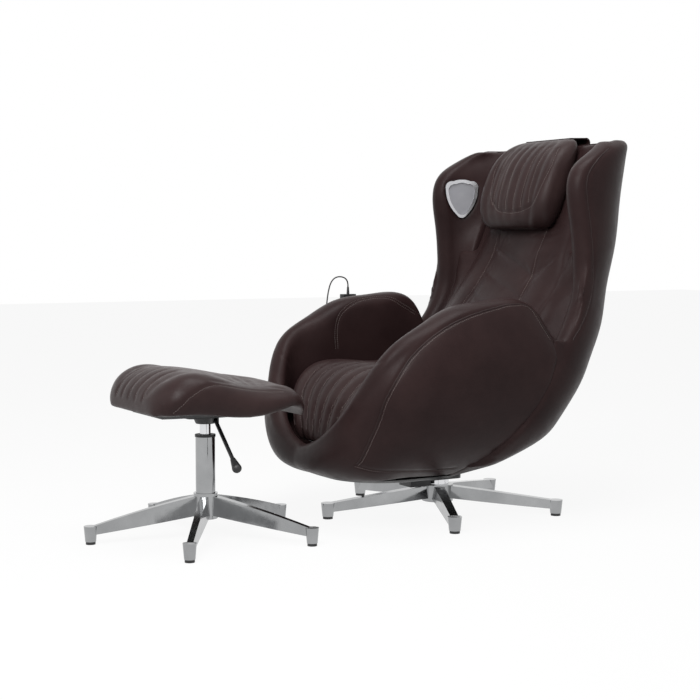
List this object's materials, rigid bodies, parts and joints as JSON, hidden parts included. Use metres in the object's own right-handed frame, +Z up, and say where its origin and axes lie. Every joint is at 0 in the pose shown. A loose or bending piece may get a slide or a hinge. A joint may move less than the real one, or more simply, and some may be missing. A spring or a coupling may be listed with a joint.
{
  "type": "massage recliner with footstool",
  "caption": "Swivelling, tilting bucket recliner with padded back, headrest pillow, wing speakers and inner massage carriage, with a separate height-adjusting footstool.",
  "frame": {"origin": "middle of the box of chair and footstool, on the floor", "axes": "+Z up, the sitter faces -Y, +X is the sitter's left"},
  "size_m": [0.797, 1.4817, 1.0538],
  "materials": {
    "leather": "semi-gloss dark brown",
    "polished_aluminium": "polished",
    "chrome": "polished",
    "black_metal": "satin",
    "steel": "ground",
    "black_plastic": "matte",
    "rubber": "matte",
    "silver_plastic": "satin silver"
  },
  "bodies": {
    "chair_base": {"chair_star_base": "polished_aluminium", "chair_glides": "black_plastic", "chair_column_tube": "chrome", "swivel_bush": "black_plastic"},
    "swivel_unit": {"swivel_post": "black_metal", "tilt_housing": "black_metal", "tilt_pin": "black_metal"},
    "seat_unit": {"seat_pan": "black_metal", "floor_pan": "black_plastic", "tilt_bracket": "black_metal", "side_panel_left": "leather", "side_panel_right": "leather", "arm_pad_left": "leather", "arm_pad_right": "leather", "front_panel": "leather", "front_lip": "leather", "back_shell": "leather", "wing_left": "leather", "wing_right": "leather", "back_pad": "leather", "speaker_bezel_left": "silver_plastic", "speaker_bezel_right": "silver_plastic", "speaker_grille_left": "silver_plastic", "speaker_grille_right": "silver_plastic", "seat_cushion": "leather", "headrest_strap": "leather", "back_frame": "black_metal", "guide_rails": "steel", "lift_motor": "black_plastic", "control_box": "black_plastic", "handset_body": "black_plastic", "handset_holder": "black_plastic", "cord_gland": "black_plastic", "handset_cord": "rubber", "power_inlet": "black_plastic"},
    "tilt_lever": {"tilt_lever": "chrome"},
    "pillow": {"headrest_pillow": "leather"},
    "carriage": {"massage_carriage": "black_plastic", "knead_motor": "black_plastic"},
    "lead_screw": {"lead_screw": "steel"},
    "knead_shaft": {"knead_shaft": "steel"},
    "knead_arm_left": {"knead_arm_left": "black_plastic"},
    "knead_arm_right": {"knead_arm_right": "black_plastic"},
    "roller_upper_left": {"roller_upper_left": "rubber"},
    "roller_upper_right": {"roller_upper_right": "rubber"},
    "roller_lower_left": {"roller_lower_left": "rubber"},
    "roller_lower_right": {"roller_lower_right": "rubber"},
    "power_key": {"handset_power_key": "black_plastic"},
    "power_switch": {"power_switch": "black_plastic"},
    "stool_base": {"stool_star_base": "polished_aluminium", "stool_glides": "black_plastic", "stool_column_tube": "polished_aluminium", "stool_column_ring": "black_plastic"},
    "gas_rod": {"gas_rod": "chrome"},
    "stool_top": {"stool_boot": "black_plastic", "stool_plate": "black_metal", "stool_pan": "black_plastic", "stool_cushion": "leather"},
    "stool_lever": {"stool_lever": "black_metal", "stool_paddle": "black_plastic"}
  },
  "joints": [
    {"name": "chair_swivel", "type": "hinge", "parent": "chair_base", "child": "swivel_unit", "pos_m": [0.01132, 0.28637, 0.1], "axis": [0, 0, 1], "continuous": true},
    {"name": "chair_tilt", "type": "hinge", "parent": "swivel_unit", "child": "seat_unit", "pos_m": [0.01132, 0.23637, 0.15], "axis": [-1, 0, 0], "range_deg": [0, 10]},
    {"name": "tilt_lever_turn", "type": "hinge", "parent": "swivel_unit", "child": "tilt_lever", "pos_m": [-0.08868, 0.18637, 0.097], "axis": [1, 0, 0], "range_deg": [-8, 8]},
    {"name": "pillow_flip", "type": "hinge", "parent": "seat_unit", "child": "pillow", "pos_m": [0.01132, 0.66437, 1.0483], "axis": [-1, 0, 0], "range_deg": [0, 70]},
    {"name": "carriage_travel", "type": "slide", "parent": "seat_unit", "child": "carriage", "axis": [0, 0.4695, 0.8829], "range_m": [0, 0.15]},
    {"name": "screw_turn", "type": "hinge", "parent": "seat_unit", "child": "lead_screw", "pos_m": [0.01132, 0.57072, 0.5298], "axis": [0, 0.4695, 0.8829], "range_deg": [0, 2700]},
    {"name": "knead_shaft_turn", "type": "hinge", "parent": "carriage", "child": "knead_shaft", "pos_m": [0.01132, 0.54365, 0.53853], "axis": [1, 0, 0], "continuous": true},
    {"name": "knead_arm_left_rock", "type": "hinge", "parent": "carriage", "child": "knead_arm_left", "pos_m": [0.01132, 0.54365, 0.53853], "axis": [1, 0, 0], "range_deg": [-6, 6]},
    {"name": "roller_upper_left_roll", "type": "hinge", "parent": "knead_arm_left", "child": "roller_upper_left", "pos_m": [0.09133, 0.55948, 0.58108], "axis": [1, 0, 0], "continuous": true},
    {"name": "roller_lower_left_roll", "type": "hinge", "parent": "knead_arm_left", "child": "roller_lower_left", "pos_m": [0.09133, 0.51722, 0.50161], "axis": [1, 0, 0], "continuous": true},
    {"name": "knead_arm_right_rock", "type": "hinge", "parent": "carriage", "child": "knead_arm_right", "pos_m": [0.01132, 0.54365, 0.53853], "axis": [1, 0, 0], "range_deg": [-6, 6]},
    {"name": "roller_upper_right_roll", "type": "hinge", "parent": "knead_arm_right", "child": "roller_upper_right", "pos_m": [-0.06867, 0.55948, 0.58108], "axis": [1, 0, 0], "continuous": true},
    {"name": "roller_lower_right_roll", "type": "hinge", "parent": "knead_arm_right", "child": "roller_lower_right", "pos_m": [-0.06867, 0.51722, 0.50161], "axis": [1, 0, 0], "continuous": true},
    {"name": "power_key_press", "type": "slide", "parent": "seat_unit", "child": "power_key", "axis": [1, 0, 0], "range_m": [0, 0.0015], "stiffness_N_per_m": 300},
    {"name": "mains_rocker", "type": "hinge", "parent": "seat_unit", "child": "power_switch", "pos_m": [0.03333, 0.52951, 0.3], "axis": [1, 0, 0], "range_deg": [-8, 8]},
    {"name": "stool_place", "type": "slide", "parent": "chair_base", "child": "stool_base", "axis": [0, -1, 0], "range_m": [0, 0.35]},
    {"name": "stool_height", "type": "slide", "parent": "stool_base", "child": "gas_rod", "axis": [0, 0, 1], "range_m": [0, 0.08]},
    {"name": "stool_swivel", "type": "hinge", "parent": "gas_rod", "child": "stool_top", "pos_m": [0.04433, -0.44463, 0.32], "axis": [0, 0, 1], "continuous": true},
    {"name": "stool_lever_lift", "type": "hinge", "parent": "stool_top", "child": "stool_lever", "pos_m": [0.09632, -0.44463, 0.309], "axis": [0, -1, 0], "range_deg": [0, 8]}
  ],
  "couplings": [
    {"joint": "screw_turn", "follows": "carriage_travel", "rad_per_m": 314.16}
  ]
}
